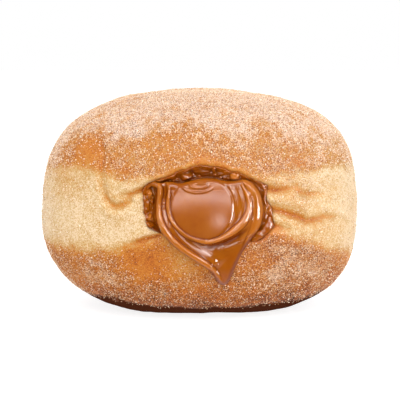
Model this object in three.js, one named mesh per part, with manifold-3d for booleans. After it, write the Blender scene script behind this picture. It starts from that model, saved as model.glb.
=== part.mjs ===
// A filled yeast doughnut: a puffed round of fried dough with a slit in its front, and the caramel that
// fills its pocket, wells out of the slit in folds and hangs down the front in a pointed tongue.
// Millimetres. X runs across, -Y is the front with the slit, +Z is up. The origin lies on the resting
// surface, under the middle of the doughnut's box. Angles round the slit start at +X and turn towards +Z.
import * as THREE from "three";
import Module from "manifold-3d";

// The round of dough, as radii from its middle.
const HALF_WIDTH = 44;
const HALF_DEPTH = 43;
const CROWN_HEIGHT = 28.9;
const BASE_HEIGHT = 32;
const CROWN_FULLNESS = 3;
const BASE_FULLNESS = 3;
const BASE_PRESSED_FLAT = 0.9;
const MIDDLE = { x: 0, y: 2.1, z: BASE_HEIGHT - BASE_PRESSED_FLAT };

// How far the round swells out of true: waves round the front-to-back axis, and waves round the upright one.
const FRONT_SWELLS = [
  { waves: 2, size: 0.53, peak: -87 },
  { waves: 3, size: 0.82, peak: -33 },
  { waves: 4, size: 0.2, peak: 2 },
  { waves: 5, size: 0.17, peak: 33 },
  { waves: 6, size: 0.26, peak: 3 },
  { waves: 7, size: 0.18, peak: -17 },
];
const PLAN_SWELLS = [
  { waves: 3, size: 0.4, peak: 60 },
  { waves: 5, size: 0.3, peak: 72 },
];

// The shallow dish in the crown.
const DISH = { x: 0, y: 3, halfWidth: 24, halfDepth: 19, depth: 1.5 };

// Creases in the sides, as [way round the girth from the front, height]. They are deepest at the slit.
const CREASES = [
  { depth: 1.6, width: 1.4, path: [[-14.5, 37], [-18.3, 36.1], [-21.3, 35.5], [-25.4, 34.9]] },
  { depth: 1.4, width: 1.4, path: [[-18, 34.5], [-21.2, 33.1], [-23.6, 31.8], [-26.6, 32.4], [-28.1, 35.3]] },
  { depth: 0.5, width: 1.4, path: [[-27.6, 33.5], [-29.6, 38.9], [-29.9, 43.6], [-33.5, 49.9]] },
  { depth: 1.5, width: 1.4, path: [[-11.5, 24.3], [-15.4, 23.4], [-18.3, 22.4], [-22.4, 21.1]] },
  { depth: 1.7, width: 1.4, path: [[18, 36.9], [21.3, 36], [24.8, 36], [28.2, 37], [30.8, 37.5]] },
  { depth: 0.8, width: 1.3, path: [[29.6, 35.2], [33.7, 34.4], [38.7, 34.1]] },
  {
    depth: 2,
    width: 1.4,
    path: [[18, 31.3], [22.7, 30.5], [29, 28.5], [31.5, 27.3], [35, 27.3], [38.8, 28], [44, 27.2], [52, 26]],
  },
  { depth: 0.9, width: 1.3, path: [[19, 27], [23, 26.2], [26, 25.4]] },
];
const CREASE_FADE = 0.35;

// Puffs between the creases.
const PUFFS = [
  { girth: -21, height: 29, halfGirth: 7, halfHeight: 5, rise: 0.6 },
  { girth: 25, height: 33, halfGirth: 6, halfHeight: 3, rise: 0.8 },
  { girth: 27, height: 23.5, halfGirth: 8, halfHeight: 4, rise: 0.5 },
];

// The slit: an arched upper edge over a squarer lower one, with a rounded lip, and the pocket behind it.
const SLIT = { x: 2.2, z: 36.3, halfWidth: 16.9 };
const SLIT_ARCH = { height: 6.9, fullness: 1.4 };
const SLIT_DROP = { height: 13.4, fullness: 3.5 };
const LIP_RADIUS = 1.3;
const POCKET_DEPTH = 34;
const POCKET_FULLNESS = 2.6;

// The filling, seen from the front, as [x, z]: its smooth middle, and the outlines of the fold and the sheet
// round it.
const DOME = { x: 0.3, z: 31.9, radius: 8, rise: 1.3 };
const FOLD_OUTLINE = [[14.3, 31.9], [13.2, 36], [9, 39.1], [-7, 38.6], [-9.9, 33], [-8.9, 28.6], [-4.5, 23.5],
  [0.6, 20.9], [6, 21.4], [12.2, 24.5], [14, 27.4]];
const SHEET_OUTLINE = [[17, 30.6], [16.3, 35.6], [12.6, 39.5], [5.2, 40.1], [-2.8, 39.6], [-9.3, 39],
  [-12.2, 36.3], [-12.5, 30.5], [-10.1, 24.5], [-3.9, 18.3], [2.7, 14], [5.6, 10.8], [7.1, 11.2], [9.1, 16],
  [12.7, 22.3], [16.2, 26.6]];
const SHEET_PROUD = 1.9;
const SHEET_EDGE_ROLL = 1.8;
const FOLD_RISE = 1.5;
const FOLD_EDGE_ROLL = 1;

// The two round strands that edge the sheet and meet in its tongue.
const STRANDS = [
  [[-12, 38], [-10.6, 36.4], [-10.7, 33.5], [-11.3, 29.5], [-9.7, 25.4], [-5.9, 21.4], [0, 17.7], [5, 12]],
  [[12.6, 38.7], [15.1, 35.8], [15.8, 31], [14.6, 26], [11.5, 21.2], [8.8, 16], [6.7, 12.4]],
];
const STRAND_RISE = 0.9;
const STRAND_HALF_WIDTH = 1.6;

// How far the filling lies back behind the dough's front where the sheet leaves the slit open.
const SET_BACK = { right: 1, top: 7, left: 4.5, bottom: 3 };
const GAP = 0.3;

// How finely the surfaces are divided.
const DOUGH_SPOKES = 84;
const SPOKE_CROWDING = 0.6;
const FILLING_SPOKES = 72;
const POCKET_RINGS = 6;
const LIP_RINGS = 4;
const BODY_RINGS = 40;
const BODY_RING_CROWDING = 0.45;
const DOME_RINGS = 4;
const FOLD_RINGS = 5;
const SHEET_RINGS = 6;
const OUTLINE_STEPS = 96;

const radians = THREE.MathUtils.degToRad;
const clamp = THREE.MathUtils.clamp;
const mix = THREE.MathUtils.lerp;

// A quarter circle from 0 at an edge to 1 where the roll ends, and a half circle over a strand.
function quarterRound(t) {
  return Math.sqrt(1 - (1 - clamp(t, 0, 1)) ** 2);
}

function halfRound(t) {
  return Math.sqrt(1 - Math.min(Math.abs(t), 1) ** 2);
}

function swell(swells, angle) {
  return swells.reduce((sum, s) => sum + s.size * Math.cos(s.waves * (angle - radians(s.peak))), 0);
}

// How far the point (u, v) is from a path, and how far along the path its nearest point lies, from 0 to 1.
function nearestOnPath(path, u, v) {
  let best = { distance: Infinity, along: 0 };
  for (let i = 0; i + 1 < path.length; i++) {
    const [u0, v0] = path[i];
    const [du, dv] = [path[i + 1][0] - u0, path[i + 1][1] - v0];
    const t = clamp(((u - u0) * du + (v - v0) * dv) / (du * du + dv * dv), 0, 1);
    const distance = Math.hypot(u - u0 - t * du, v - v0 - t * dv);
    if (distance < best.distance) {
      best = { distance, along: (i + t) / (path.length - 1) };
    }
  }
  return best;
}

// Creases and puffs move the surface in or out along its radius.
function sideRelief(girth, height) {
  let relief = 0;
  for (const puff of PUFFS) {
    const q = Math.hypot((girth - puff.girth) / puff.halfGirth, (height - puff.height) / puff.halfHeight);
    relief += puff.rise * Math.exp(-q * q);
  }
  for (const crease of CREASES) {
    const { distance, along } = nearestOnPath(crease.path, girth, height);
    const fade = 1 - clamp((along - CREASE_FADE) / (1 - CREASE_FADE), 0, 1) ** 2;
    relief -= crease.depth * fade * Math.exp(-((distance / crease.width) ** 2));
  }
  return relief;
}

function dishDepth(x, y) {
  const q = Math.hypot((x - DISH.x) / DISH.halfWidth, (y - DISH.y) / DISH.halfDepth);
  return q < 1 ? DISH.depth * (1 - q * q) ** 2 : 0;
}

// The dough's radius from its middle, in the direction `lean` away from the front and `turn` round the slit.
function doughRadius(lean, turn) {
  const x = Math.sin(lean) * Math.cos(turn);
  const y = -Math.cos(lean);
  const z = Math.sin(lean) * Math.sin(turn);
  const [height, fullness] = z > 0 ? [CROWN_HEIGHT, CROWN_FULLNESS] : [BASE_HEIGHT, BASE_FULLNESS];
  const flat = Math.hypot(x / HALF_WIDTH, y / HALF_DEPTH);
  const smooth = (flat ** fullness + (Math.abs(z) / height) ** fullness) ** (-1 / fullness);
  const round = Math.atan2(x, -y);
  const girth = round * HALF_WIDTH;
  const dish = z > 0 ? dishDepth(smooth * x, smooth * y) * z : 0;
  return (
    smooth +
    Math.sin(lean) ** 2 * swell(FRONT_SWELLS, turn) +
    (1 - z * z) * swell(PLAN_SWELLS, round) +
    (1 - z * z) * sideRelief(girth, MIDDLE.z + smooth * z) -
    dish
  );
}

function doughPoint(lean, turn, grow) {
  const r = doughRadius(lean, turn) + grow;
  return [
    MIDDLE.x + r * Math.sin(lean) * Math.cos(turn),
    MIDDLE.y - r * Math.cos(lean),
    Math.max(MIDDLE.z + r * Math.sin(lean) * Math.sin(turn), -grow),
  ];
}

// The lean at which the dough's front is `reach` away from its front-to-back axis.
function leanAt(reach, turn) {
  let lean = reach / HALF_DEPTH;
  for (let i = 0; i < 8; i++) {
    lean = Math.asin(Math.min(reach / doughRadius(lean, turn), 1));
  }
  return lean;
}

function insideSlit(x, z) {
  const across = Math.abs(x - SLIT.x) / SLIT.halfWidth;
  const up = z - SLIT.z;
  const { height, fullness } = up > 0 ? SLIT_ARCH : SLIT_DROP;
  return across ** fullness + (Math.abs(up) / height) ** fullness < 1;
}

// How far the slit's edge is from (x, z) in the direction `turn`.
function slitReach(x, z, turn) {
  let [inner, outer] = [0, 3 * SLIT.halfWidth];
  for (let i = 0; i < 40; i++) {
    const middle = (inner + outer) / 2;
    if (insideSlit(x + middle * Math.cos(turn), z + middle * Math.sin(turn))) {
      inner = middle;
    } else {
      outer = middle;
    }
  }
  return inner;
}

// A closed surface from a first point, through rings of equally many points, to a last point.
function closedSurface(first, rings, last) {
  const count = rings[0].length;
  const positions = [first, ...rings.flat(), last].flat();
  const end = 1 + rings.length * count;
  const index = [];
  const at = (ring, spoke) => (ring < 0 ? 0 : ring < rings.length ? 1 + ring * count + (spoke % count) : end);
  for (let spoke = 0; spoke < count; spoke++) {
    index.push(0, at(0, spoke), at(0, spoke + 1));
    for (let ring = 0; ring + 1 < rings.length; ring++) {
      index.push(at(ring, spoke), at(ring + 1, spoke), at(ring + 1, spoke + 1));
      index.push(at(ring, spoke), at(ring + 1, spoke + 1), at(ring, spoke + 1));
    }
    index.push(at(rings.length - 1, spoke), end, at(rings.length - 1, spoke + 1));
  }
  const geometry = new THREE.BufferGeometry();
  geometry.setAttribute("position", new THREE.Float32BufferAttribute(positions, 3));
  geometry.setIndex(index);
  return geometry;
}

function ringOf(turns, point) {
  return turns.map((turn) => point(turn));
}

// Spokes stand closer together at the two ends of the slit, where the creases start.
function doughTurns() {
  return Array.from({ length: DOUGH_SPOKES }, (_, i) => {
    const even = (2 * Math.PI * i) / DOUGH_SPOKES;
    return even - (SPOKE_CROWDING / 2) * Math.sin(2 * even);
  });
}

// The dough, from the end of its pocket over the lip and round the outside to the back. `grow` thickens it
// all over.
function doughGeometry(grow) {
  const lipRadius = LIP_RADIUS + grow;
  const pocketEnd = MIDDLE.y - HALF_DEPTH + POCKET_DEPTH - grow;
  const edge = (turn) => slitReach(MIDDLE.x, MIDDLE.z, turn) - grow;
  const lipPoint = (roll, turn) => {
    const reach = edge(turn) + lipRadius * (1 - Math.sin(roll));
    const [x, y, z] = doughPoint(leanAt(reach, turn), turn, grow);
    return [x, y + lipRadius * (1 - Math.cos(roll)), z];
  };
  const pocketPoint = (roll, turn) => {
    const inward = Math.sin(roll) ** (2 / POCKET_FULLNESS);
    const width = Math.cos(roll) ** (2 / POCKET_FULLNESS) * edge(turn);
    const y = mix(lipPoint(Math.PI / 2, turn)[1], pocketEnd, inward);
    return [MIDDLE.x + width * Math.cos(turn), y, MIDDLE.z + width * Math.sin(turn)];
  };
  const bodyPoint = (share, turn) => {
    const start = leanAt(edge(turn) + lipRadius, turn);
    const spaced = BODY_RING_CROWDING * share + (1 - BODY_RING_CROWDING) * share * share;
    return doughPoint(mix(start, Math.PI, spaced), turn, grow);
  };

  const turns = doughTurns();
  const rings = [];
  for (let i = 1; i <= POCKET_RINGS; i++) {
    rings.push(ringOf(turns, (turn) => pocketPoint((Math.PI / 2) * (1 - i / POCKET_RINGS), turn)));
  }
  for (let i = 1; i <= LIP_RINGS; i++) {
    rings.push(ringOf(turns, (turn) => lipPoint((Math.PI / 2) * (1 - i / LIP_RINGS), turn)));
  }
  for (let i = 1; i < BODY_RINGS; i++) {
    rings.push(ringOf(turns, (turn) => bodyPoint(i / BODY_RINGS, turn)));
  }
  return closedSurface([MIDDLE.x, pocketEnd, MIDDLE.z], rings, doughPoint(Math.PI, 0, grow));
}

// A smooth closed or open curve through points given as [x, z].
function smoothPath(points, closed) {
  const knots = points.map(([x, z]) => new THREE.Vector3(x, 0, z));
  const curve = new THREE.CatmullRomCurve3(knots, closed, "centripetal");
  return curve.getPoints(OUTLINE_STEPS).map((p) => [p.x, p.z]);
}

// How far a closed path round the dome reaches from the dome's middle in the direction `turn`.
function pathReach(path, turn) {
  const [ux, uz] = [Math.cos(turn), Math.sin(turn)];
  for (let i = 0; i + 1 < path.length; i++) {
    const [x0, z0] = [path[i][0] - DOME.x, path[i][1] - DOME.z];
    const [x1, z1] = [path[i + 1][0] - DOME.x, path[i + 1][1] - DOME.z];
    const [side0, side1] = [ux * z0 - uz * x0, ux * z1 - uz * x1];
    const share = side0 / (side0 - side1);
    const reach = mix(ux * x0 + uz * z0, ux * x1 + uz * z1, share);
    if (side0 * side1 <= 0 && side0 !== side1 && reach > 0) {
      return reach;
    }
  }
  throw new Error("the path does not go round the dome");
}

// The front of the filling, before the dough is taken out of it.
function fillingGeometry() {
  const sheet = smoothPath(SHEET_OUTLINE, true);
  const fold = smoothPath(FOLD_OUTLINE, true);
  const strands = STRANDS.map((points) => smoothPath(points, false));
  const clearance = 0.4;

  // How far the filling stands proud of the dough's front at (x, z).
  const proudAt = (x, z) => {
    const fromDome = Math.hypot(x - DOME.x, z - DOME.z);
    const turn = Math.atan2(z - DOME.z, x - DOME.x);
    const inSheet = fromDome < pathReach(sheet, turn) ? nearestOnPath(sheet, x, z).distance : 0;
    const inFold = fromDome < pathReach(fold, turn) ? nearestOnPath(fold, x, z).distance : 0;
    const strandRise = strands.map((s) => halfRound(nearestOnPath(s, x, z).distance / STRAND_HALF_WIDTH));
    const rises =
      SHEET_PROUD +
      STRAND_RISE * Math.max(...strandRise) +
      FOLD_RISE * quarterRound(inFold / FOLD_EDGE_ROLL) +
      DOME.rise * Math.max(1 - (fromDome / DOME.radius) ** 2, 0);
    return quarterRound(inSheet / SHEET_EDGE_ROLL) * rises;
  };
  const frontPoint = (x, z, proud) => {
    const turn = Math.atan2(z - MIDDLE.z, x - MIDDLE.x);
    const lean = leanAt(Math.hypot(x - MIDDLE.x, z - MIDDLE.z), turn);
    return [x, doughPoint(lean, turn, 0)[1] - proud, z];
  };
  const spokePoint = (reach, turn, proud) => {
    const [x, z] = [DOME.x + reach * Math.cos(turn), DOME.z + reach * Math.sin(turn)];
    return frontPoint(x, z, proud ?? proudAt(x, z));
  };
  const sheetReach = (turn) => pathReach(sheet, turn);
  const foldReach = (turn) => Math.min(pathReach(fold, turn), sheetReach(turn) - clearance);
  const domeReach = (turn) => Math.min(DOME.radius, foldReach(turn) - clearance);
  const farReach = (turn) => Math.max(sheetReach(turn), slitReach(DOME.x, DOME.z, turn)) + LIP_RADIUS;
  const setBack = (turn) => {
    const side = Math.cos(turn) > 0 ? SET_BACK.right : SET_BACK.left;
    const end = Math.sin(turn) > 0 ? SET_BACK.top : SET_BACK.bottom;
    return side * Math.cos(turn) ** 2 + end * Math.sin(turn) ** 2;
  };

  const turns = Array.from({ length: FILLING_SPOKES }, (_, i) => (2 * Math.PI * i) / FILLING_SPOKES);
  const rings = [];
  for (let i = 1; i <= DOME_RINGS; i++) {
    rings.push(ringOf(turns, (turn) => spokePoint((domeReach(turn) * i) / DOME_RINGS, turn)));
  }
  for (let i = 1; i <= FOLD_RINGS; i++) {
    const share = i / FOLD_RINGS;
    rings.push(ringOf(turns, (turn) => spokePoint(mix(domeReach(turn), foldReach(turn), share), turn)));
  }
  for (let i = 1; i <= SHEET_RINGS; i++) {
    const share = Math.sin((Math.PI / 2) * (i / SHEET_RINGS));
    rings.push(ringOf(turns, (turn) => spokePoint(mix(foldReach(turn), sheetReach(turn), share), turn)));
  }
  rings.push(ringOf(turns, (turn) => spokePoint(sheetReach(turn), turn, -setBack(turn))));
  rings.push(ringOf(turns, (turn) => spokePoint(farReach(turn), turn, -setBack(turn))));
  const behind = MIDDLE.y - HALF_DEPTH + POCKET_DEPTH + 2;
  const backRing = ringOf(turns, (turn) => spokePoint(farReach(turn), turn, 0));
  rings.push(backRing.map(([x, , z]) => [x, behind, z]));
  return closedSurface(spokePoint(0, 0), rings, [DOME.x, behind, DOME.z]);
}

const wasm = await Module();
wasm.setup();

function toSolid(geometry) {
  return new wasm.Manifold(
    new wasm.Mesh({
      numProp: 3,
      vertProperties: new Float32Array(geometry.attributes.position.array),
      triVerts: new Uint32Array(geometry.index.array),
    }),
  );
}

function toGeometry(solid) {
  const { vertProperties, triVerts } = solid.getMesh();
  const geometry = new THREE.BufferGeometry();
  geometry.setAttribute("position", new THREE.BufferAttribute(vertProperties, 3));
  geometry.setIndex(new THREE.BufferAttribute(triVerts, 1));
  return geometry;
}

// The filling takes the room that the dough leaves, with a gap, and stays in one piece.
function fittedFilling() {
  const pieces = toSolid(fillingGeometry()).subtract(toSolid(doughGeometry(GAP))).decompose();
  pieces.sort((a, b) => b.volume() - a.volume());
  return toGeometry(pieces[0]);
}

function namedMesh(name, geometry, color, roughness) {
  const mesh = new THREE.Mesh(geometry, new THREE.MeshStandardMaterial({ color, roughness, metalness: 0 }));
  mesh.name = name;
  return mesh;
}

const doughnut = new THREE.Group();
doughnut.add(namedMesh("dough", doughGeometry(0), 0xd69a5e, 0.8));
doughnut.add(namedMesh("filling", fittedFilling(), 0xb46428, 0.3));

export default doughnut;
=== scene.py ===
"""A caramel filled doughnut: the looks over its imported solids. It makes the fried dough with its creases,
pale band and slit, the sugar on its crust, and the caramel that wells out of the slit.
Lengths are in millimetres until a mesh is made. X runs across, -Y is the front, +Z is up, and angles round
the slit start at +X and turn towards +Z. The round has the sizes of its solid. The creases, the slit's edge
and the caramel are drawn finer than in the solids."""
import functools
import math

import bmesh
import bpy
import numpy as np
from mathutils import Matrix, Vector


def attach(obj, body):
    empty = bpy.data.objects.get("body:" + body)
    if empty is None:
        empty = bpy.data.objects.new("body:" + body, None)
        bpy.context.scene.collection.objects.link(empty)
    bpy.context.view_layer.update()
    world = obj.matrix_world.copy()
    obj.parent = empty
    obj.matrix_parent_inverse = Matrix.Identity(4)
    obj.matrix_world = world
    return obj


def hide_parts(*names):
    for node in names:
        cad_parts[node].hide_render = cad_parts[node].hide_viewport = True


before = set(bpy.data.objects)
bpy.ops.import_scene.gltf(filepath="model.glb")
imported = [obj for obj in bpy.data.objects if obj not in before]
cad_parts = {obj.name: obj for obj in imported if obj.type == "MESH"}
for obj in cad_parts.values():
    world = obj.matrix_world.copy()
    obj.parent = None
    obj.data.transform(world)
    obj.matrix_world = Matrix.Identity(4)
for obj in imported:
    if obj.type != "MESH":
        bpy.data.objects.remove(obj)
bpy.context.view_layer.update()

MM = 0.001
TURN = 2 * math.pi

# -------- sizes of the dough

HALF_WIDTH = 44.0
HALF_DEPTH = 43.0
CROWN_HEIGHT = 28.9
BASE_HEIGHT = 32.0
CROWN_FULLNESS = 3.0
BASE_FULLNESS = 3.0
BASE_PRESSED_FLAT = 0.9
MIDDLE = np.array((0.0, 2.1, BASE_HEIGHT - BASE_PRESSED_FLAT))

# Waves round the front-to-back axis and round the upright one: (how many, size, peak in degrees).
FRONT_SWELLS = ((2, 0.53, -87), (3, 0.82, -33), (4, 0.2, 2), (5, 0.17, 33), (6, 0.26, 3), (7, 0.18, -17))
PLAN_SWELLS = ((3, 0.4, 60), (5, 0.3, 72))

# The shallow dish in the crown.
DISH = {"x": 0.0, "y": 3.0, "half_width": 24.0, "half_depth": 19.0, "depth": 1.5}

# Creases: (depth, width, path as (way round the girth from the front, height)). Each fades out along its path
# and swells the dough on both sides.
CREASES = (
    (1.3, 0.85, ((-12, 37.7), (-15.2, 36.7), (-17.8, 35.9), (-20.4, 35.1), (-24.1, 34.3))),
    (0.9, 1.0, ((-19.6, 33.4), (-21.5, 32.4), (-23.9, 31.6), (-25.9, 32.2), (-27.3, 33.6), (-28.3, 35.2))),
    (0.4, 1.0, ((-27.6, 33.5), (-29.6, 38.9), (-29.9, 43.6), (-33.5, 49.9))),
    (1.1, 0.7, ((-11.5, 24.3), (-15.4, 23.4), (-18.3, 22.4), (-22.4, 21.1))),
    (1.1, 1.0, ((16, 37.2), (18.5, 36.6), (21.3, 36), (24.8, 36), (28.2, 37), (30.8, 37.5))),
    (0.8, 1.0, ((28.6, 35.3), (33.7, 34.4), (38.7, 34.1))),
    (1.1, 1.0, (
        (16.5, 31.5), (19.5, 31.2), (22.7, 30.5), (29, 28.5), (31.5, 27.3), (35, 27.3), (38.8, 28),
        (44, 27.2), (52, 26),
    )),
    (0.7, 0.8, ((19, 27), (23, 26.2), (26, 25.4))),
)
CREASE_ONSET = (-0.15, 0.03)
CREASE_FADE = 0.35
CREASE_SHARPNESS = 1.4
CREASE_SWELL = {"share": 0.3, "away": 2.4, "width": 1.3}

# Puffs between the creases: (girth, height, half girth, half height, rise).
PUFFS = ((-21, 29, 7, 5, 1.0), (-20, 38.5, 6, 2.5, 0.7), (25, 33, 6, 3, 1.0), (27, 23.5, 8, 4, 0.7))

# Unevenness of the fried skin. Here and below, a layer of noise is (size of its bumps, height, seed).
SKIN_BUMPS = ((9.0, 0.28, 11), (3.6, 0.13, 12), (1.5, 0.06, 13))

# The slit's edge as (x, z) and how ragged it is, its lip, and the pocket behind it.
SLIT_OUTLINE = (
    (17.5, 34.2), (17.6, 36), (17.4, 37.4), (14.2, 38.9), (10.4, 40.5), (7.9, 41.4), (5.4, 42), (2.9, 42.4),
    (-0.1, 42.8), (-2.2, 42.5), (-4.2, 41.8), (-6.7, 40.9), (-8.9, 39.8), (-12, 38.7), (-14.5, 37.7),
    (-15, 36.3), (-14.9, 32.8), (-14.5, 29.3), (-14.1, 27.2), (-11.4, 25.4), (-6, 23.4), (2, 22.9),
    (10, 23), (15, 23.3), (17.6, 24.9), (19, 26.5), (19.1, 28.5), (18.5, 31.1),
)
SLIT_RAGGED = ((1.9, 0.28, 21), (0.8, 0.14, 22))
LIP_RADIUS = 1.3
POCKET_DEPTH = 34.0
POCKET_FULLNESS = 2.6

# The pale band that floated out of the oil: its edges as (girth, height), how soft they are, and how wavy.
BAND_TOP = (
    (-138, 40.5), (-100, 39.5), (-61, 40.7), (-35, 41.6), (-20, 39.3), (-12, 38.6), (16, 38.6), (21, 39.2),
    (28, 40.4), (40, 41.6), (61, 41), (100, 42), (138, 40.5),
)
BAND_BOTTOM = (
    (-138, 18.5), (-100, 19), (-60, 19), (-35, 17.8), (-23, 20.2), (-12, 23.4), (0, 24.5), (19, 25.4),
    (24, 23.7), (35, 19.9), (42, 18.1), (60, 16), (100, 17.5), (138, 18.5),
)
BAND_TOP_BLUR = 2.0
BAND_BOTTOM_BLUR = 2.5
BAND_WOBBLE = ((5, 0.8, 31), (1.7, 0.9, 32))

# The underside: the share of the round that it reaches out to, how much further at both sides, how much that
# differs between them, how soft its edge is, and how wide the darker rim round it. Its darkness is partly
# fried skin and partly painted shade where the dough nears the floor.
UNDERSIDE = {"reach": 0.68, "wider": 0.15, "askew": 0.02, "blur": 0.04, "rim": 0.1}
UNDERSIDE_RAGGED = ((2.5, 0.03, 35),)

# How brown the dough is, 0 to about 1, with painted shade in the underside's values, and patches: (girth,
# height, half girth, half height, difference).
BAND_BROWNING = 0.1
CROWN_BROWNING = 0.455
BASE_BROWNING = 0.66
# Partly fried skin, partly painted shade where the dough nears the floor.
UNDERSIDE_BROWNING_AND_SHADE = 1.2
RIM_BROWNING_AND_SHADE = 0.14
BROWNING_MOTTLE = ((6, 0.07, 33), (2.2, 0.05, 34))
# The patches at girth 62 and -62 are painted light: they lighten the far sides, which the lamps light less.
BROWN_PATCHES = (
    (-41, 45.8, 9, 4.8, 0.1), (-34, 47, 5, 5.5, 0.09), (-25, 41.6, 9, 1.8, 0.1), (40, 42.5, 14, 2, 0.06),
    (32, 47.7, 5, 2, 0.1), (-38, 37.6, 14, 4.6, 0.14), (-22.8, 33.2, 4.5, 2, 0.1), (26, 37.4, 9, 3.5, 0.05),
    (30, 29, 16, 10, 0.12), (-18, 14, 6.5, 6, -0.05), (-5, 18, 6, 6, -0.2), (16, 20, 5, 5, -0.06),
    (-5, 7, 26, 4, 0.14), (34, 8, 16, 5, 0.05), (0, 57.3, 3.5, 1.6, 0.16), (-9, 49, 9, 5, 0.02),
    (4, 44.5, 14, 3, 0.07), (44, 46, 15, 7, -0.14), (-35, 60, 12, 2, 0.2), (-42, 19.5, 14, 2.5, 0.12),
    (62, 30, 17, 11, -0.12), (62, 48, 15, 8, -0.14), (-62, 30, 15, 11, -0.1),
)

# How thickly sugar lies, from 0 to about 1, and patches like the brown ones. It thickens up the crown between
# two heights, clumps, and falls off creases and the underside's rim.
CROWN_TOP_SUGAR = 1.0
CROWN_SIDE_SUGAR = 0.5
CROWN_SUGAR_HEIGHTS = (42, 61)
BAND_SUGAR = 0.07
BASE_SUGAR = 0.42
SUGAR_CLUMPS = ((4, 0.3, 41), (1.4, 0.5, 42))
SUGAR_LIMITS = (0.03, 1.3)
CREASE_LOSS = 0.8
MOST_CREASE_LOSS = 0.7
RIM_LOSS = 0.3
# The patches at girth 62 and -62 are painted light: they whiten the far sides, which the lamps light less.
SUGAR_PATCHES = (
    (-38, 46.3, 9, 5, -0.5), (-10, 48, 9, 6, -0.12), (-17, 16, 8, 6, -0.42), (-6, 19, 7, 5, -0.2),
    (28, 37, 9, 5, 0.25), (30, 47, 12, 6, -0.06), (-15, 50.5, 8, 4, -0.22), (0, 54, 11, 3, -0.12),
    (-20, 54, 14, 4, 0.12), (0, 60.5, 40, 2.5, 0.4), (-58, 46, 14, 9, 0.25), (4, 44.5, 13, 3, -0.08),
    (18, 44, 12, 5, -0.05), (-5, 8, 20, 4, -0.12), (62, 30, 17, 11, 0.12), (62, 48, 15, 8, 0.2),
    (-62, 30, 15, 11, 0.12), (12, 17, 6, 5, -0.15), (-27, 51.5, 5, 4, 0.25), (-20, 51, 2, 2, 0.4),
    (31.6, 54.6, 4, 3, 0.4), (5, 55, 5, 3, 0.3), (-31, 12.4, 8, 4, 0.3), (-15.8, 9, 9, 3, 0.3),
    (28, 14, 14, 7, 0.3),
)

# -------- sizes of the filling

# Seen from the front, as (x, z): the smooth disc, and the outlines of the cushion and the sheet round it. The
# cushion sags: it stands out most at its lower edge.
DISC = {"x": 0.35, "z": 32.0, "radius": 8.35, "rise": 0.9, "edge": 0.3, "edge_roll": 0.6}
DISC_BLUR = 1.0
CUSHION_OUTLINE = (
    (13.9, 31.5), (13.5, 35), (12.3, 37.4), (9.9, 38.6), (3, 39), (-3.4, 38.3), (-8.2, 38), (-9, 36.5),
    (-9.3, 32.5), (-8.7, 29.4), (-7, 26.6), (-5, 25), (-2.5, 23.5), (-0.4, 22.6), (1.6, 22.3), (4.4, 22.8),
    (7, 23.8), (9.3, 25), (11.4, 26.5), (13, 28.2), (13.8, 29.8),
)
CUSHION_RISE = 0.9
CUSHION_SAG = 0.19
CUSHION_EDGE_ROLL = 1.1
SHEET_OUTLINE = (
    (16.7, 30.4), (16.4, 33.4), (15.6, 36), (13.8, 38.3), (11.5, 39.2), (9, 38.9), (6.5, 38.9), (3.4, 39.6),
    (0.2, 39.6), (-3, 38.9), (-5.6, 38.3), (-8, 38.7), (-10, 38.4), (-11.6, 38.4), (-11.7, 37), (-11.8, 35),
    (-12.1, 32.3), (-12.2, 29.9), (-11.7, 27.6), (-10.4, 25.2), (-8.6, 23), (-5.9, 20.5), (-2.8, 18.4),
    (-0.2, 16.7), (2, 15.1), (3.4, 13.4), (4.6, 11.6), (6, 10.7), (7.3, 11.4), (8.3, 13.6), (9.5, 16.6),
    (11.2, 20.1), (13.3, 23.2), (15.1, 25.4), (16.2, 27.7),
)
SHEET_PROUD = 1.5
SHEET_EDGE_ROLL = 1.3

# How far the sheet's edge is sunk in the dough, and how far inside its outline the cushion starts to rise.
EDGE_SUNK = 0.15
CUSHION_MARGIN = 0.08

# Ropes on the sheet: (rise for their half width, how dark the painted shade in their seams is, path as (x, z,
# half width)).
ROPES = (
    (0.85, 1.0, (
        (-11.3, 38.6, 0.5), (-10.7, 37.2, 0.8), (-10.6, 35.9, 0.9), (-10.9, 33.7, 0.8), (-11, 31.2, 0.85),
        (-10.5, 28.4, 1.0), (-9, 25.4, 1.15), (-6.6, 22.7, 1.25), (-3.5, 20.3, 1.3), (0.2, 18, 1.2),
        (2.8, 16, 1.0), (4.4, 13.8, 0.7), (5.4, 12.2, 0.3),
    )),
    (0.85, 1.0, (
        (-8.8, 38.5, 0.4), (-8.3, 36.7, 0.5), (-8.5, 34.7, 0.6), (-8.6, 32.2, 0.65), (-8, 29.7, 0.6),
        (-6.4, 27.2, 0.6), (-3.9, 25, 0.65), (-1.1, 23.8, 0.7), (1.9, 23.3, 0.8), (4.7, 23.9, 0.9),
        (7.2, 25.1, 1.05), (9.5, 26.7, 1.2), (11.5, 28.8, 1.1), (12.6, 31.1, 0.95), (12.7, 33.6, 0.85),
        (12, 35.9, 0.7), (10.8, 37.9, 0.4),
    )),
    (0.7, 0.6, (
        (11.1, 39.2, 0.5), (12.7, 37.6, 1.1), (14.2, 35.6, 1.3), (15, 33, 1.4), (15.1, 30, 1.45),
        (14.4, 27, 1.3), (13.2, 24.6, 1.0), (11.6, 22, 0.5), (10.4, 19.6, 0.1),
    )),
    (0.28, 0.0, (
        (12, 38.5, 0.6), (13.2, 36.5, 1.6), (13.9, 34, 2.2), (14, 31, 2.6), (13.2, 28, 2.6),
        (11.8, 25.4, 1.8), (10.4, 23, 0.6),
    )),
)

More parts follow.
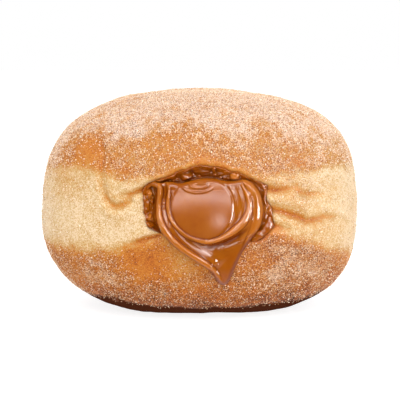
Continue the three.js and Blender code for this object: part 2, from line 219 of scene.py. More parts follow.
# Ridges and grooves in the caramel: (rise, half width, path). They have straight flanks.
WRINKLES = (
    (0.15, 0.5, ((6.5, 38.7), (7.9, 36.9), (8.9, 34.6), (9.2, 31.8), (8.7, 29.2), (7.3, 26.9), (5.5, 25.1))),
    (0.1, 0.5, ((8.9, 38.6), (10, 36.4), (10.7, 34), (10.8, 31.2), (9.9, 28.5), (8.1, 26.4))),
    (-1.1, 1.1, ((-9.2, 41), (-9.2, 39.5), (-9.4, 38), (-9.5, 36.5), (-9.6, 35), (-9.6, 33))),
    (-0.25, 0.4, ((-7.6, 36), (-7.8, 33.5), (-7.6, 31), (-6.8, 28.5), (-5.3, 26.5), (-3.3, 25))),
    (0.3, 0.45, ((-5.1, 38), (-4.1, 36.9), (-2.1, 36.3), (0.4, 36.3), (2.6, 36.9), (3.6, 37.9))),
    (0.3, 0.45, ((-3.6, 38.6), (-2.4, 37.7), (-0.6, 37.4), (1.4, 37.7), (2.4, 38.6))),
    (0.2, 0.4, ((-2.2, 39), (-0.8, 38.5), (0.8, 38.5), (1.8, 39))),
    (0.25, 0.6, ((14.2, 24.9), (13.3, 24.4), (11.2, 23.2), (9.1, 22.2), (7.2, 21.5), (5.2, 20.8))),
    (0.15, 0.4, ((13.4, 24.2), (11.9, 21.4), (10.3, 18.4), (9, 15.4), (7.8, 12.6))),
    (0.2, 0.45, ((-9.6, 36), (-9.8, 33.5), (-9.7, 31), (-9.1, 28.5), (-8, 26.6))),
    (0.08, 0.8, ((-8.2, 29.2), (-7.4, 27.5), (-6.3, 25.8), (-4.6, 23.9), (-2.3, 21.8), (-0.5, 20.4),
                 (1.1, 19), (3, 17), (4.2, 15))),
    (0.16, 0.38, ((-7, 24.2), (-4.8, 22.1), (-2.2, 20.3), (0.6, 18.6), (2.7, 16.8), (4, 14.9))),
    (-0.12, 0.4, ((-7.4, 25.4), (-5.4, 23.3), (-2.9, 21.3), (-0.2, 19.4), (2, 17.6))),
    (0.15, 0.4, ((-10.8, 28), (-9.4, 25.1), (-7, 22.5), (-4, 20.2), (-0.6, 18.1), (2.2, 16.1))),
    (0.2, 0.45, ((13.1, 38.6), (14.2, 36.9), (14.8, 34.6), (14.9, 31.5), (14.6, 28.5), (13.4, 25.6))),
    (-0.2, 0.5, ((14, 36), (14.1, 33.4), (14.2, 30.8), (13.7, 28))),
    (0.15, 0.4, ((12.2, 37), (13, 34.6), (13.3, 31.8), (12.8, 29.4), (11.4, 27.4), (9.3, 25.8))),
    (-0.2, 0.5, ((13, 27.4), (10.9, 25.4), (8.7, 24), (6.3, 22.9), (3.7, 22.1), (1.2, 21.8))),
    (-0.14, 0.5, ((-4.2, 24.8), (-2.2, 23.2), (-0.2, 21.7), (1.9, 20.4), (3.9, 18.9), (5.2, 17.4))),
)

# A broad bank that lifts the sheet's lower left side from the disc's edge on: (rise, half width, path).
BANK = (2.6, 4.0, (
    (-10.8, 33.2), (-10.4, 29.7), (-8.6, 26), (-5.6, 22.6), (-2, 19.9), (1.2, 17.4), (3.6, 14.8),
))
BANK_ONSET = 3.0

# Painted shade in dark seams: how wide that along the ropes is, and the one under the cushion: (half width,
# path).
SEAM_SHADE_HALF_WIDTH = 0.2
UNDER_CUSHION = (0.65, (
    (13.8, 28.8), (12.6, 26.9), (10.8, 25.3), (8.7, 24), (6.3, 22.9), (3.7, 22), (1.2, 21.7), (-0.6, 22),
))

# Lumps of the caramel that lies back in the slit: (x, z, half width, half height, rise), and the noise that
# makes the caramel between them bumpy, makes them uneven and shifts them.
LUMPS = (
    (0.3, 41.5, 2.9, 1.0, 1.5), (-3.7, 39.9, 1.7, 1.2, 2.2), (3.7, 41.5, 0.6, 0.7, 2.0),
    (6.1, 41, 1.7, 0.8, 1.2), (9.1, 39.8, 1.4, 1.2, 2.6), (-7.6, 39.7, 1.8, 0.9, 1.3),
    (-10.6, 38.9, 1.5, 0.8, 1.6), (-13.4, 35.5, 1.0, 1.4, 1.9), (-12.5, 33.5, 0.7, 1.2, 1.7),
    (-13.8, 35.7, 0.45, 0.5, 2.6), (-12.8, 35.5, 0.4, 0.45, 2.7), (-12.4, 34.7, 0.35, 0.45, 2.4),
    (-13, 29.3, 0.45, 0.4, 2.6), (-12.3, 29.1, 0.35, 0.35, 2.4), (-14.1, 32.3, 0.9, 2.1, 1.2),
    (-13.1, 29.2, 1.0, 0.9, 1.8), (-13.2, 27.3, 1.3, 0.9, 1.6), (16.3, 37.1, 0.9, 0.7, 0.9),
    (17, 35.2, 0.6, 1.1, 1.0), (17.7, 32.8, 0.6, 1.3, 0.8), (18.1, 30.5, 0.7, 0.9, 0.9),
)
BACK_BUMPS = ((2.4, 0.8, 61), (1.2, 0.35, 64))
LUMP_UNEVEN = ((0.9, 0.3, 65),)
LUMP_SHIFT_ACROSS = ((1.3, 0.35, 62),)
LUMP_SHIFT_UP = ((1.3, 0.35, 63),)
LUMPS_START = 0.8

# Painted light: the caramel is painted paler where the ropes rise by AMBER_RISE and more, and at spots in the
# slit: (x, z, radius). AMBER_CORE is the share of their radius that is wholly pale.
AMBER_RISE = 0.5
AMBER_SPOTS = ((9.1, 39.8, 1.5), (-13, 29, 1.4), (-13.2, 35.6, 1.3), (17.6, 31.5, 1.6))
AMBER_CORE = 0.5

# The sheet's lower edge is painted darker and mauve, as painted shade and a painted reflection of the floor:
# from how far inside it, and between which heights.
LOWER_EDGE_SHADE = (1.4, 0.42)
LOWER_EDGE_SHADE_HEIGHTS = (27, 24)

# How far the caramel lies back in the slit on each side of the sheet. Near the slit's wall a film of it
# climbs to FILM_TOP below the front. Past the wall it is buried in the dough. Painted shade darkens it the
# deeper it lies, fully from DEEP_AT on.
SET_BACK = {"right": 0.9, "top": 3.0, "left": 1.4, "bottom": 3.0}
FILM_WIDTH = 1.2
FILM_TOP = 0.7
BURIED = 3.5
WALL_BLEND = 0.6
DEEP_AT = 7.0

# How much further than the slit's lip and the pocket's end the filling goes into the dough.
RECESS_OVERLAP = 0.5
BACK_OVERLAP = 2.0

# -------- how finely the surfaces are divided

DOUGH_SPOKES = 360
SPOKE_CROWDING = 0.45
POCKET_RINGS = 10
LIP_RINGS = 10
BODY_RINGS = 240
BODY_RING_CROWDING = 0.4
FILLING_SPOKES = 560
DISC_RINGS = 44
CUSHION_RINGS = 40
SHEET_RINGS = 46
WALL_RINGS = 10
RECESS_RINGS = 34
RING_CLEARANCE = 0.4
PATH_STEPS = 90


# ======== curves and noise


def quarter_round(t):
    """A quarter circle, from 0 at an edge to 1 where its roll ends."""
    return np.sqrt(1 - (1 - np.clip(t, 0, 1)) ** 2)


def bell(t):
    return np.exp(-t * t)


def smooth_step(low, high, value):
    t = np.clip((value - low) / (high - low), 0, 1)
    return t * t * (3 - 2 * t)


def mix(a, b, share):
    return a + (b - a) * share


def noise(points, size, seed):
    """Smooth noise from -1 to 1 with bumps of about `size`."""
    cells = 32
    lattice = np.random.default_rng(seed).uniform(-1, 1, (cells, cells, cells))
    scaled = points / size
    low = np.floor(scaled).astype(int)
    share = scaled - low
    share = share * share * (3 - 2 * share)
    total = np.zeros(points.shape[:-1])
    for corner in np.ndindex(2, 2, 2):
        cell = (low + corner) % cells
        weight = np.prod(np.where(corner, share, 1 - share), axis=-1)
        total += weight * lattice[cell[..., 0], cell[..., 1], cell[..., 2]]
    return total


def layered(points, layers, shift=0):
    """The sum of layers of noise, with each seed moved on by `shift`."""
    return sum(height * noise(points, size, seed + shift) for size, height, seed in layers)


def swell(swells, angle):
    return sum(size * np.cos(waves * (angle - math.radians(peak))) for waves, size, peak in swells)


def nearest_on_path(path, u, v):
    """How far points are from a path, and how far along it their nearest points lie, from 0 to 1."""
    distance = np.full(np.shape(u), np.inf)
    along = np.zeros(np.shape(u))
    steps = len(path) - 1
    for i in range(steps):
        u0, v0 = path[i][:2]
        u1, v1 = path[i + 1][:2]
        du, dv = u1 - u0, v1 - v0
        t = np.clip(((u - u0) * du + (v - v0) * dv) / (du * du + dv * dv), 0, 1)
        here = np.hypot(u - u0 - t * du, v - v0 - t * dv)
        along = np.where(here < distance, (i + t) / steps, along)
        distance = np.minimum(here, distance)
    return distance, along


def clear_of_ends(along, start, end):
    """1 along the middle of a path, and less near its ends."""
    return smooth_step(0, start, along) * smooth_step(1, 1 - end, along)


@functools.cache
def smooth_path(points, closed=False):
    """A centripetal Catmull-Rom curve through the points."""
    p = np.array(points, float)
    if closed:
        p = np.vstack((p[-1], p, p[0], p[1]))
    else:
        p = np.vstack((2 * p[0] - p[1], p, 2 * p[-1] - p[-2]))
    spans = len(p) - 3
    steps = max(PATH_STEPS // spans, 5)
    curve = [span_point(p[i : i + 4], step / steps) for i in range(spans) for step in range(steps)]
    return np.array(curve + [p[-2]])


def span_point(q, share):
    """The point at `share` of the way from the second to the third of four points of a curve."""
    knots = np.concatenate(([0], np.cumsum(np.linalg.norm(np.diff(q, axis=0), axis=1) ** 0.5)))
    at = mix(knots[1], knots[2], share)

    def between(a, b, low, high):
        return (a * (knots[high] - at) + b * (at - knots[low])) / (knots[high] - knots[low])

    first, second, third = (between(q[i], q[i + 1], i, i + 1) for i in range(3))
    return between(between(first, second, 0, 2), between(second, third, 1, 3), 1, 2)


# ======== the dough


def patches(spots, girth, height):
    """The sum of soft round patches at places on the side."""
    total = np.zeros(np.shape(girth))
    for at_girth, at_height, half_girth, half_height, amount in spots:
        total += amount * bell(np.hypot((girth - at_girth) / half_girth, (height - at_height) / half_height))
    return total


def crease_depth(girth, height):
    total = np.zeros(np.shape(girth))
    for depth, width, path in CREASES:
        distance, along = nearest_on_path(path, girth, height)
        faded = np.clip((along - CREASE_FADE) / (1 - CREASE_FADE), 0, 1) ** 2
        fade = smooth_step(*CREASE_ONSET, along) * (1 - faded)
        pinched = np.exp(-((distance / width) ** CREASE_SHARPNESS))
        swollen = bell((distance - CREASE_SWELL["away"] * width) / (CREASE_SWELL["width"] * width))
        total += depth * fade * (pinched - CREASE_SWELL["share"] * swollen)
    return total


def dish_depth(x, y):
    q = np.hypot((x - DISH["x"]) / DISH["half_width"], (y - DISH["y"]) / DISH["half_depth"])
    return DISH["depth"] * np.clip(1 - q * q, 0, 1) ** 2


def dough_radius(lean, turn, skin=True):
    """The dough's radius from its middle, `lean` away from the front and `turn` round the slit, with or
    without its creases and bumps."""
    x = np.sin(lean) * np.cos(turn)
    y = -np.cos(lean)
    z = np.sin(lean) * np.sin(turn)
    height = np.where(z > 0, CROWN_HEIGHT, BASE_HEIGHT)
    fullness = np.where(z > 0, CROWN_FULLNESS, BASE_FULLNESS)
    flat = np.hypot(x / HALF_WIDTH, y / HALF_DEPTH)
    smooth = (flat**fullness + (np.abs(z) / height) ** fullness) ** (-1 / fullness)
    around = np.arctan2(x, -y)
    side = 1 - z * z
    from_front = np.sin(lean) ** 2
    whole = smooth + from_front * swell(FRONT_SWELLS, turn) + side * swell(PLAN_SWELLS, around)
    if not skin:
        return whole
    girth = around * HALF_WIDTH
    relief = patches(PUFFS, girth, MIDDLE[2] + smooth * z) - crease_depth(girth, MIDDLE[2] + smooth * z)
    dish = np.where(z > 0, dish_depth(smooth * x, smooth * y) * z, 0)
    place = np.stack((x, y, z), axis=-1) * HALF_WIDTH
    return whole + side * relief - dish + layered(place, SKIN_BUMPS)


def dough_point(lean, turn, skin=True):
    r = dough_radius(lean, turn, skin)
    z = np.maximum(MIDDLE[2] + r * np.sin(lean) * np.sin(turn), 0)
    return np.stack((MIDDLE[0] + r * np.sin(lean) * np.cos(turn), MIDDLE[1] - r * np.cos(lean), z), axis=-1)


def lean_at(reach, turn, skin=True):
    """The lean at which the dough's front is `reach` away from its front-to-back axis."""
    lean = reach / HALF_DEPTH
    for _ in range(8):
        lean = np.arcsin(np.minimum(reach / dough_radius(lean, turn, skin), 1))
    return lean


def front_of_dough(x, z):
    """The y of the dough's front at (x, z), as if it were smooth and had no slit."""
    turn = np.arctan2(z - MIDDLE[2], x - MIDDLE[0])
    reach = np.hypot(x - MIDDLE[0], z - MIDDLE[2])
    return dough_point(lean_at(reach, turn, skin=False), turn, skin=False)[..., 1]


def path_reach(path, turn, x, z):
    """How far a closed path round (x, z) reaches from there in the direction `turn`."""
    across, up = path[:-1, 0] - x, path[:-1, 1] - z
    return np.interp(turn, np.arctan2(up, across), np.hypot(across, up), period=TURN)


def slit_reach(turn, x, z):
    """How far the slit's ragged edge is from (x, z) in the direction `turn`."""
    reach = path_reach(smooth_path(SLIT_OUTLINE, True), turn, x, z)
    place = np.stack((x + reach * np.cos(turn), z + reach * np.sin(turn), 0 * turn), axis=-1)
    return reach + layered(place, SLIT_RAGGED)


def dough_turns():
    """Spokes stand closer together at the two ends of the slit, where the creases start."""
    even = TURN * np.arange(DOUGH_SPOKES) / DOUGH_SPOKES
    return even - SPOKE_CROWDING / 2 * np.sin(2 * even)


def dough_rings():
    """The dough's rings, from its pocket's end over the lip and round the outside to the back."""
    turns = dough_turns()
    edge = slit_reach(turns, MIDDLE[0], MIDDLE[2])
    pocket_end = MIDDLE[1] - HALF_DEPTH + POCKET_DEPTH

    def lip_ring(roll):
        reach = edge + LIP_RADIUS * (1 - math.sin(roll))
        ring = dough_point(lean_at(reach, turns), turns)
        ring[:, 1] += LIP_RADIUS * (1 - math.cos(roll))
        return ring

    def pocket_ring(roll):
        inward = math.sin(roll) ** (2 / POCKET_FULLNESS)
        width = math.cos(roll) ** (2 / POCKET_FULLNESS) * edge
        y = mix(lip_ring(math.pi / 2)[:, 1], pocket_end, inward)
        return np.stack((MIDDLE[0] + width * np.cos(turns), y, MIDDLE[2] + width * np.sin(turns)), axis=-1)

    start = lean_at(edge + LIP_RADIUS, turns)
    rings = [pocket_ring(math.pi / 2 * (1 - i / POCKET_RINGS)) for i in range(1, POCKET_RINGS + 1)]
    rings += [lip_ring(math.pi / 2 * (1 - i / LIP_RINGS)) for i in range(1, LIP_RINGS + 1)]
    for i in range(1, BODY_RINGS):
        share = i / BODY_RINGS
        spaced = BODY_RING_CROWDING * share + (1 - BODY_RING_CROWDING) * share * share
        rings.append(dough_point(mix(start, math.pi, spaced), turns))
    return np.array((MIDDLE[0], pocket_end, MIDDLE[2])), np.array(rings), dough_point(math.pi, 0.0)


def girth_and_height(points):
    return np.arctan2(points[:, 0] - MIDDLE[0], MIDDLE[1] - points[:, 1]) * HALF_WIDTH, points[:, 2]


def crust_shares(points):
    """How much points belong to the crown and to the base, from 0 in the pale band to 1."""
    girth, height = girth_and_height(points)
    wobble = layered(points, BAND_WOBBLE)
    above = height - np.interp(girth, *zip(*BAND_TOP)) + wobble
    below = np.interp(girth, *zip(*BAND_BOTTOM)) - height + wobble
    crown = smooth_step(-BAND_TOP_BLUR, BAND_TOP_BLUR, above)
    base = smooth_step(-BAND_BOTTOM_BLUR, BAND_BOTTOM_BLUR, below)
    return crown, base


def underside(points, rim=0.0):
    """From 0 on the sides to 1 underneath, with the rim round it or without."""
    across = (points[:, 0] - MIDDLE[0]) / HALF_WIDTH
    outwards = np.hypot(across, (points[:, 1] - MIDDLE[1]) / HALF_DEPTH)
    edge = UNDERSIDE["reach"] + UNDERSIDE["wider"] * np.abs(across) + UNDERSIDE["askew"] * across + rim
    past = outwards - edge + layered(points, UNDERSIDE_RAGGED)
    return smooth_step(UNDERSIDE["blur"], -UNDERSIDE["blur"], past) * (points[:, 2] < MIDDLE[2])


def by_region(points, band, crown, base):
    """A value that differs between the pale band, the crown and the base."""
    on_crown, on_base = crust_shares(points)
    return band + on_crown * (crown - band) + on_base * (base - band)


# Browning, with painted shade added under the dough and on the rim round the underside.
def browning(points):
    level = by_region(points, BAND_BROWNING, CROWN_BROWNING, BASE_BROWNING)
    level += patches(BROWN_PATCHES, *girth_and_height(points))
    level += layered(points, BROWNING_MOTTLE) + RIM_BROWNING_AND_SHADE * underside(points, UNDERSIDE["rim"])
    return mix(level, UNDERSIDE_BROWNING_AND_SHADE, underside(points))


def sugar_cover(points):
    girth, height = girth_and_height(points)
    on_crown = mix(CROWN_SIDE_SUGAR, CROWN_TOP_SUGAR, smooth_step(*CROWN_SUGAR_HEIGHTS, height))
    cover = by_region(points, BAND_SUGAR, on_crown, BASE_SUGAR) + patches(SUGAR_PATCHES, girth, height)
    cover = np.clip(cover * (1 + layered(points, SUGAR_CLUMPS)), *SUGAR_LIMITS)
    bare = np.clip(CREASE_LOSS * crease_depth(girth, height), 0, MOST_CREASE_LOSS)
    bare += RIM_LOSS * underside(points, UNDERSIDE["rim"])
    return cover * (1 - np.clip(bare, 0, 1)) * (1 - underside(points))


# ======== the filling


def from_disc(x, z):
    """How far from the disc's middle points are, seen from the front, and in which direction."""
    return np.hypot(x - DISC["x"], z - DISC["z"]), np.arctan2(z - DISC["z"], x - DISC["x"])


def round_disc(reach, turn):
    """The (x, z) of the point `reach` away from the disc's middle in the direction `turn`."""
    return DISC["x"] + reach * np.cos(turn), DISC["z"] + reach * np.sin(turn)


def outline_reach(outline, turn):
    """How far an outline reaches from the disc's middle in the direction `turn`."""
    return path_reach(smooth_path(outline, True), turn, DISC["x"], DISC["z"])


def rope_profile(fullness, seam, points, x, z):
    """How far a rope stands out at (x, z), and how dark the painted shade in its seam is there."""
    path = smooth_path(points)
    distance, along = nearest_on_path(path, x, z)
    half_width = np.interp(along, np.linspace(0, 1, len(path)), path[:, 2])
    rise = fullness * half_width * (1 - np.clip(distance / half_width, 0, 1) ** 2)
    beside = bell((distance - half_width) / SEAM_SHADE_HALF_WIDTH)
    return rise, seam * clear_of_ends(along, 0.1, 0.2) * beside


def rope_rise(x, z):
    """How far the ropes stand out. They don't pile up where they meet."""
    return np.maximum.reduce([rope_profile(*rope, x, z)[0] for rope in ROPES])


def seam_shades(x, z):
    """Painted shade, from 0 to 1, where a rope meets what it lies on, and under the cushion."""
    edges = [rope_profile(*rope, x, z)[1] for rope in ROPES]
    half_width, points = UNDER_CUSHION
    distance, along = nearest_on_path(smooth_path(points), x, z)
    return np.maximum.reduce([*edges, np.sin(math.pi * along) * bell(distance / half_width)])


def wrinkle_rise(x, z):
    total = np.zeros(np.shape(x))
    for rise, half_width, points in WRINKLES:
        distance, along = nearest_on_path(smooth_path(points), x, z)
        total += rise * clear_of_ends(along, 0.15, 0.15) * np.clip(1 - distance / half_width, 0, 1)
    return total


def inside(outline, x, z):
    """How far inside an outline points are, and 0 outside it."""
    away, turn = from_disc(x, z)
    within = away < outline_reach(outline, turn)
    return np.where(within, nearest_on_path(smooth_path(outline, True), x, z)[0], 0)


def cushion_rise(x, z):
    in_cushion = quarter_round((inside(CUSHION_OUTLINE, x, z) - CUSHION_MARGIN) / CUSHION_EDGE_ROLL)
    return in_cushion * (CUSHION_RISE + CUSHION_SAG * (DISC["z"] - z))


def bank_rise(x, z):
    rise, half_width, points = BANK
    distance, along = nearest_on_path(smooth_path(points), x, z)
    off_disc = smooth_step(DISC["radius"] - BANK_ONSET, DISC["radius"], from_disc(x, z)[0])
    return rise * clear_of_ends(along, 0.3, 0.1) * off_disc * bell(distance / half_width)


def disc_rise(x, z):
    away = from_disc(x, z)[0]
    edge = DISC["edge"] * quarter_round((DISC["radius"] - away) / DISC["edge_roll"])
    return edge + DISC["rise"] * np.clip(1 - (away / DISC["radius"]) ** 2, 0, 1)


def proud_at(x, z):
    """How far the filling stands proud of the dough's front at (x, z)."""
    rises = SHEET_PROUD + np.maximum(cushion_rise(x, z), bank_rise(x, z))
    rises += rope_rise(x, z) + wrinkle_rise(x, z) + disc_rise(x, z)
    return quarter_round(inside(SHEET_OUTLINE, x, z) / SHEET_EDGE_ROLL) * rises - EDGE_SUNK


def lump_rise(x, z):
    """How far the glossy lumps stand out of the caramel that lies back in the slit."""
    place = np.stack((x, 0 * x, z), axis=-1)
    total = sum(height * np.abs(noise(place, size, seed)) for size, height, seed in BACK_BUMPS)
    uneven = layered(place, LUMP_UNEVEN)
    x = x + layered(place, LUMP_SHIFT_ACROSS)
    z = z + layered(place, LUMP_SHIFT_UP)
    for at_x, at_z, half_width, half_height, rise in LUMPS:
        from_middle = np.hypot((x - at_x) / half_width, (z - at_z) / half_height)
        total = np.maximum(total, (rise + uneven) * np.sqrt(np.clip(1 - from_middle**2, 0, 1)))
    return total


def recess_depth(reach, turns, sheet_reach, slit_edge):
    """How far the lumpy caramel lies back in the slit round the sheet."""
    side = np.where(np.cos(turns) > 0, SET_BACK["right"], SET_BACK["left"])
    end = np.where(np.sin(turns) > 0, SET_BACK["top"], SET_BACK["bottom"])
    set_back = side * np.cos(turns) ** 2 + end * np.sin(turns) ** 2
    lumps = lump_rise(*round_disc(reach, turns)) * smooth_step(0, LUMPS_START, reach - sheet_reach)
    to_wall = slit_edge - reach
    climb = smooth_step(FILM_WIDTH, 0, to_wall) * (set_back - FILM_TOP)
    return mix(BURIED, set_back - climb - lumps, smooth_step(-WALL_BLEND, 0, to_wall))


# The depth sets how much painted shade the caramel gets in the slit.
def depth_share(points):
    """How deep in the slit points are, from 0 level with the dough's front to 1."""
    return smooth_step(0, DEEP_AT, points[:, 1] - front_of_dough(points[:, 0], points[:, 2]))


def ring_shares(count):
    """The share of the way that each of so many rings lies at, up to 1."""
    return np.arange(1, count + 1)[:, None] / count


def filling_rings():
    """The filling's front from its disc's middle to the sheet's edge, then back into the slit, along the
    recess into the slit's wall, and behind it all."""
    turns = TURN * np.arange(FILLING_SPOKES) / FILLING_SPOKES
    sheet_reach = outline_reach(SHEET_OUTLINE, turns)
    cushion_reach = np.minimum(outline_reach(CUSHION_OUTLINE, turns), sheet_reach - RING_CLEARANCE)
    disc_reach = np.minimum(DISC["radius"] + RING_CLEARANCE, cushion_reach - RING_CLEARANCE)
    slit_edge = slit_reach(turns, DISC["x"], DISC["z"])
    far_reach = np.maximum(sheet_reach, slit_edge) + LIP_RADIUS + RECESS_OVERLAP

    def rings_at(reach, proud=None):
        x, z = round_disc(reach, turns)
        rise = proud_at(x, z) if proud is None else proud
        return np.stack((x, front_of_dough(x, z) - rise, z), axis=-1)

    front_reach = np.concatenate((
        disc_reach * ring_shares(DISC_RINGS),
        mix(disc_reach, cushion_reach, ring_shares(CUSHION_RINGS)),
        mix(cushion_reach, sheet_reach, np.sin(math.pi / 2 * ring_shares(SHEET_RINGS))),
    ))
    front = rings_at(front_reach)
    recess_reach = mix(sheet_reach, far_reach, np.vstack(([0], ring_shares(RECESS_RINGS))))
    recess = rings_at(recess_reach, -recess_depth(recess_reach, turns, sheet_reach, slit_edge))
    wall = mix(front[-1], recess[0], ring_shares(WALL_RINGS)[:-1, None])
    behind = MIDDLE[1] - HALF_DEPTH + POCKET_DEPTH + BACK_OVERLAP
    back = recess[-1] * (1, 0, 1) + (0, behind, 0)
    rings = np.concatenate((front, wall, recess, back[None]))
    return rings_at(0 * turns)[0], rings, np.array((DISC["x"], behind, DISC["z"]))


# ======== meshes


def make_object(name, vertices, faces, smooth):
    """An object from vertices in millimetres and arrays of faces, each array with one row a face."""
    corners = np.concatenate([f.ravel() for f in faces])
    sizes = np.concatenate([np.full(len(f), f.shape[1]) for f in faces])
    mesh = bpy.data.meshes.new(name)
    mesh.vertices.add(len(vertices))
    mesh.vertices.foreach_set("co", (vertices * MM).astype(np.float32).ravel())
    mesh.loops.add(len(corners))
    mesh.loops.foreach_set("vertex_index", corners.astype(np.int32))
    mesh.polygons.add(len(sizes))
    mesh.polygons.foreach_set("loop_start", (np.cumsum(sizes) - sizes).astype(np.int32))
    mesh.update(calc_edges=True)
    mesh.validate()
    if smooth:
        mesh.shade_smooth()
    else:
        mesh.shade_flat()
    made = bpy.data.objects.new(name, mesh)
    bpy.context.scene.collection.objects.link(made)
    return made


def set_attribute(piece, name, values):
    attribute = piece.data.attributes.new(name, "FLOAT", "POINT")
    attribute.data.foreach_set("value", np.asarray(values, np.float32))


def closed_surface(first, rings, last):
    """Vertices and faces from a first point, through rings of equally many points, to a last point."""
    count = rings.shape[1]
    vertices = np.vstack((first, rings.reshape(-1, 3), last))
    spoke = np.arange(count)
    after = (spoke + 1) % count
    starts = 1 + count * np.arange(len(rings) - 1)[:, None]
    ends = starts + count
    quads = np.stack((starts + spoke, ends + spoke, ends + after, starts + after), axis=-1)
    outermost = 1 + (len(rings) - 1) * count
    cap = np.stack((0 * spoke, 1 + spoke, 1 + after), axis=-1)
    end = np.stack((outermost + spoke, 0 * spoke + len(vertices) - 1, outermost + after), axis=-1)
    return vertices, [cap, quads.reshape(-1, 4), end]


# Caramel stains the pocket and the lip's inner rings, counted from where the lip ends.
STAIN_RINGS = (-3, 1)
STAIN_RAGGED = ((1.2, 2.5, 71),)
DEEPEST_CREASE = 1.5


def make_dough():
    """The dough's object, its vertices, and the faces between its rings."""
    first, rings, last = dough_rings()
    vertices, faces = closed_surface(first, rings, last)
    dough = make_object("fried_dough", vertices, faces, smooth=True)
    ring_of = np.concatenate(([0], np.repeat(np.arange(len(rings)), DOUGH_SPOKES), [len(rings)]))
    outwards = ring_of - POCKET_RINGS - LIP_RINGS
    girth, height = girth_and_height(vertices)
    pinched = np.clip(crease_depth(girth, height), 0, DEEPEST_CREASE)
    in_pocket = -LIP_RINGS - outwards - layered(vertices, STAIN_RAGGED)
    set_attribute(dough, "browning", browning(vertices))
    set_attribute(dough, "crease", pinched * (outwards > -LIP_RINGS))
    set_attribute(dough, "stain", smooth_step(*STAIN_RINGS, in_pocket))
    set_attribute(dough, "sugar", sugar_cover(vertices) * (outwards > 0))
    return dough, vertices, faces[1]


def painted_light_share(x, z):
    """Painted light, from 0 to 1: the caramel is painted paler along its ropes and at some spots in the slit.
    """
    share = smooth_step(0, AMBER_RISE, rope_rise(x, z))
    for spot_x, spot_z, radius in AMBER_SPOTS:
        share = np.maximum(share, smooth_step(1, AMBER_CORE, np.hypot(x - spot_x, z - spot_z) / radius))
    return share


def lower_edge_shade_share(x, z):
    """From 0 to 1 at the sheet's lower edge, where painted shade and a painted reflection of the floor go."""
    at_edge = smooth_step(*LOWER_EDGE_SHADE, inside(SHEET_OUTLINE, x, z))
    return at_edge * smooth_step(*LOWER_EDGE_SHADE_HEIGHTS, z)


def make_filling():
    vertices, faces = closed_surface(*filling_rings())
    filling = make_object("caramel", vertices, faces, smooth=True)
    set_attribute(filling, "depth", depth_share(vertices))
    x, z = vertices[:, 0], vertices[:, 2]
    set_attribute(filling, "seam", seam_shades(x, z))
    set_attribute(filling, "rope", painted_light_share(x, z))
    set_attribute(filling, "thin_edge", lower_edge_shade_share(x, z))
    set_attribute(filling, "disc", smooth_step(0, DISC_BLUR, DISC["radius"] - from_disc(x, z)[0]))
    return filling


# ======== lumps of caramel in the slit

# Crumbs round the sheet, except below it: on which arc, at which share of the way from the sheet to the
# slit's edge, how far proud at both ends of it, how much that varies, and their half sizes.
CRUMB_COUNT = 26
CRUMB_SEED = 90
CRUMB_ARC = (-0.2 * math.pi, 1.2 * math.pi)
CRUMB_SHARES = (0.15, 1)
CRUMB_PROUD = (-1.6, -0.2)
CRUMB_PROUD_VARIES = (0.4, 1)
CRUMB_HALF_SIZES = (0.22, 0.45)
CRUMB_UNEVEN = ((1.1, 0.25, 100), (0.5, 0.06, 140))

# Beads on the sheet: (x, z, radius).
BEADS = ((4.5, 17.1, 0.42),)

# Strings: (half width, path as (x, z, how far proud)). STRING_ENDS is the share left of it at their ends.
STRINGS = (
    (1.15, ((18.3, 29, -0.7), (18, 27, -0.4), (16.6, 25.2, -0.2), (15, 24.1, -0.2), (13.5, 22.8, -0.6))),
    (0.6, ((-14, 36.3, -1.2), (-13.5, 37.5, -0.6), (-12.4, 38, -0.1), (-11.2, 37.6, 0.5), (-10.6, 36.4, 1),
           (-10.8, 35, 1.1))),
    (0.3, ((16, 38, -0.3), (17, 35.6, 0), (16.8, 33.6, 0.1), (17.8, 31.2, 0))),
)
STRING_SIDES = 16
STRING_ENDS = 0.35
STRING_UNEVEN = ((1.1, 0.25, 130),)


def unit_ball():
    """Vertices and triangles of a round ball of radius 1."""
    made = bmesh.new()
    bmesh.ops.create_icosphere(made, subdivisions=3, radius=1)
    made.verts.ensure_lookup_table()
    vertices = np.array([v.co[:] for v in made.verts])
    faces = np.array([[v.index for v in f.verts] for f in made.faces])
    made.free()
    return vertices, faces


def crumbs():
    """For each crumb its x, its z, how far proud it lies, and its three half sizes."""
    random = np.random.default_rng(CRUMB_SEED)
    turns = random.uniform(*CRUMB_ARC, CRUMB_COUNT)
    share = random.uniform(*CRUMB_SHARES, CRUMB_COUNT)
    reach = mix(outline_reach(SHEET_OUTLINE, turns), slit_reach(turns, DISC["x"], DISC["z"]), share)
    proud = mix(*CRUMB_PROUD, share * random.uniform(*CRUMB_PROUD_VARIES, CRUMB_COUNT))
    halves = random.uniform(*CRUMB_HALF_SIZES, (3, CRUMB_COUNT))
    return zip(*round_disc(reach, turns), proud, *halves)


def blob_shapes():
    """The crumbs in the slit and the beads on the sheet."""
    ball, faces = unit_ball()
    for i, (x, z, proud, *halves) in enumerate(crumbs()):
        middle = np.array((x, front_of_dough(x, z) - proud, z))
        uneven = 1 + layered(ball, CRUMB_UNEVEN, i)
        yield middle + ball * uneven[:, None] * halves, [faces]
    for x, z, radius in BEADS:
        yield np.array((x, front_of_dough(x, z) - proud_at(x, z), z)) + ball * radius, [faces]


